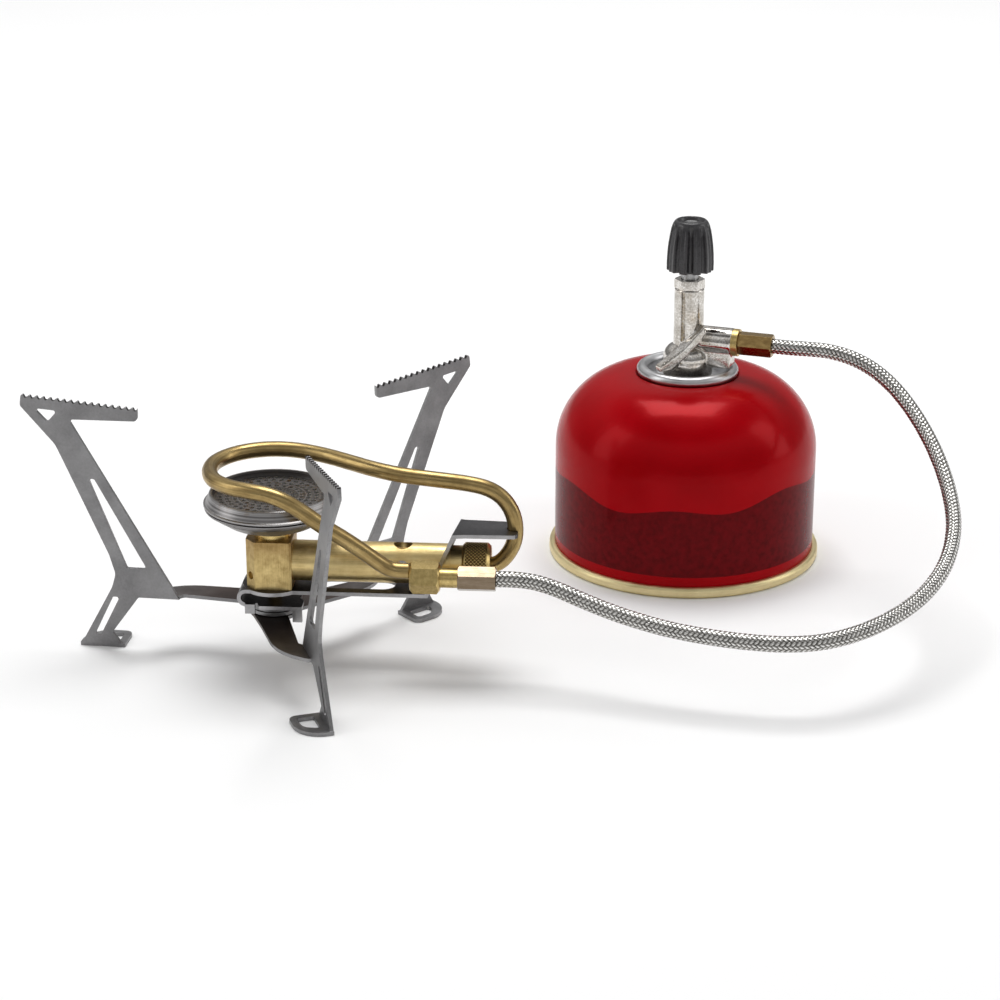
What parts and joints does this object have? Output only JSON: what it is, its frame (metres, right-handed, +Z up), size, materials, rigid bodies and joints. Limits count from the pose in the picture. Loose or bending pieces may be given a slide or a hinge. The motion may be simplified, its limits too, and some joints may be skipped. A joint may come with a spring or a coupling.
{
  "type": "canister stove",
  "caption": "Camping stove: a burner on swinging legs with serrated pot supports, fed through a braided hose from a valve screwed onto a low gas canister.",
  "frame": {"origin": "bottom centre of the box round the burner and the canister without the hose, on the ground the feet and the canister stand on", "axes": "+X from the burner's axis along its mixing tube, towards the canister's side; +Y from the front leg towards the canister; +Z up"},
  "size_m": [0.2921, 0.217, 0.1168],
  "materials": {
    "leg_steel": "satin, slightly mottled, brown heat tint on the front arm",
    "bracket_steel": "dark, bright cut edges",
    "brass_satin": "satin, brushed streaks",
    "brass_dull": "dull, browned",
    "plated_steel": "satin",
    "bowl_steel": "satin, slight heat tint",
    "lid_steel": "dark satin, heat tint",
    "braid": "fine braid",
    "valve_metal": "bright, slightly rough cast",
    "knob_plastic": "satin black",
    "rubber": "matte",
    "canister_paint": "glossy red lacquer, darker below",
    "rim_gold": "gold lacquered",
    "cup_metal": "bright",
    "white_plastic": "matte"
  },
  "bodies": {
    "stove": {"bracket": "bracket_steel", "pivot_stud": "brass_satin", "pivot_washer": "plated_steel", "pivot_nut": "plated_steel", "burner_block": "brass_satin", "burner_neck": "brass_satin", "burner_bowl": "bowl_steel", "bowl_nut": "plated_steel", "burner_lid": "lid_steel", "mixing_tube": "brass_satin", "jet": "brass_satin", "jet_nut": "brass_dull", "preheat_tube": "brass_satin", "hose_union": "brass_satin", "burner_ferrule": "brass_dull", "hose": "braid", "valve_ferrule": "brass_dull", "outlet_washer": "brass_satin", "valve_body": "valve_metal", "packing_nut": "valve_metal", "pin_depressor": "brass_satin", "canister_seal": "rubber"},
    "left_leg": {"leg_left": "leg_steel"},
    "front_leg": {"leg_front": "leg_steel"},
    "back_leg": {"leg_back": "leg_steel"},
    "seal": {"spindle_seal": "rubber"},
    "control": {"valve_spindle": "plated_steel", "knob": "knob_plastic", "knob_screw": "plated_steel"},
    "gas_stem": {"gas_valve_stem": "white_plastic"},
    "canister": {"canister_body": "canister_paint", "canister_base": "rim_gold", "valve_cup": "cup_metal", "cup_gasket": "rubber", "gas_valve_housing": "white_plastic", "gas_valve_gasket": "rubber", "gas_valve_spring": "plated_steel"}
  },
  "joints": [
    {"name": "leg_left_swing", "type": "hinge", "parent": "stove", "child": "left_leg", "pos_m": [-0.0477, -0.0367, 0.018], "axis": [0, 0, 1], "range_deg": [-15, 15]},
    {"name": "leg_front_swing", "type": "hinge", "parent": "stove", "child": "front_leg", "pos_m": [-0.0477, -0.0367, 0.015], "axis": [0, 0, 1], "range_deg": [-55, 0]},
    {"name": "leg_back_swing", "type": "hinge", "parent": "stove", "child": "back_leg", "pos_m": [-0.0477, -0.0367, 0.0165], "axis": [0, 0, 1], "range_deg": [0, 75]},
    {"name": "spindle_rise", "type": "slide", "parent": "stove", "child": "seal", "axis": [0, 0, 1], "range_m": [0, 0.0016]},
    {"name": "knob_turn", "type": "hinge", "parent": "seal", "child": "control", "pos_m": [0.0793, 0.0623, 0.1], "axis": [0, 0, 1], "range_deg": [0, 720]},
    {"name": "canister_drop", "type": "slide", "parent": "stove", "child": "gas_stem", "axis": [0, 0, 1], "range_m": [-0.00272, 0]},
    {"name": "canister_turn", "type": "hinge", "parent": "gas_stem", "child": "canister", "pos_m": [0.0793, 0.0623, 0.06], "axis": [0, 0, 1], "range_deg": [-1080, 0]}
  ],
  "couplings": [
    {"joint": "spindle_rise", "follows": "knob_turn", "m_per_rad": 0.00012732},
    {"joint": "canister_drop", "follows": "canister_turn", "m_per_rad": 0.00014436}
  ]
}
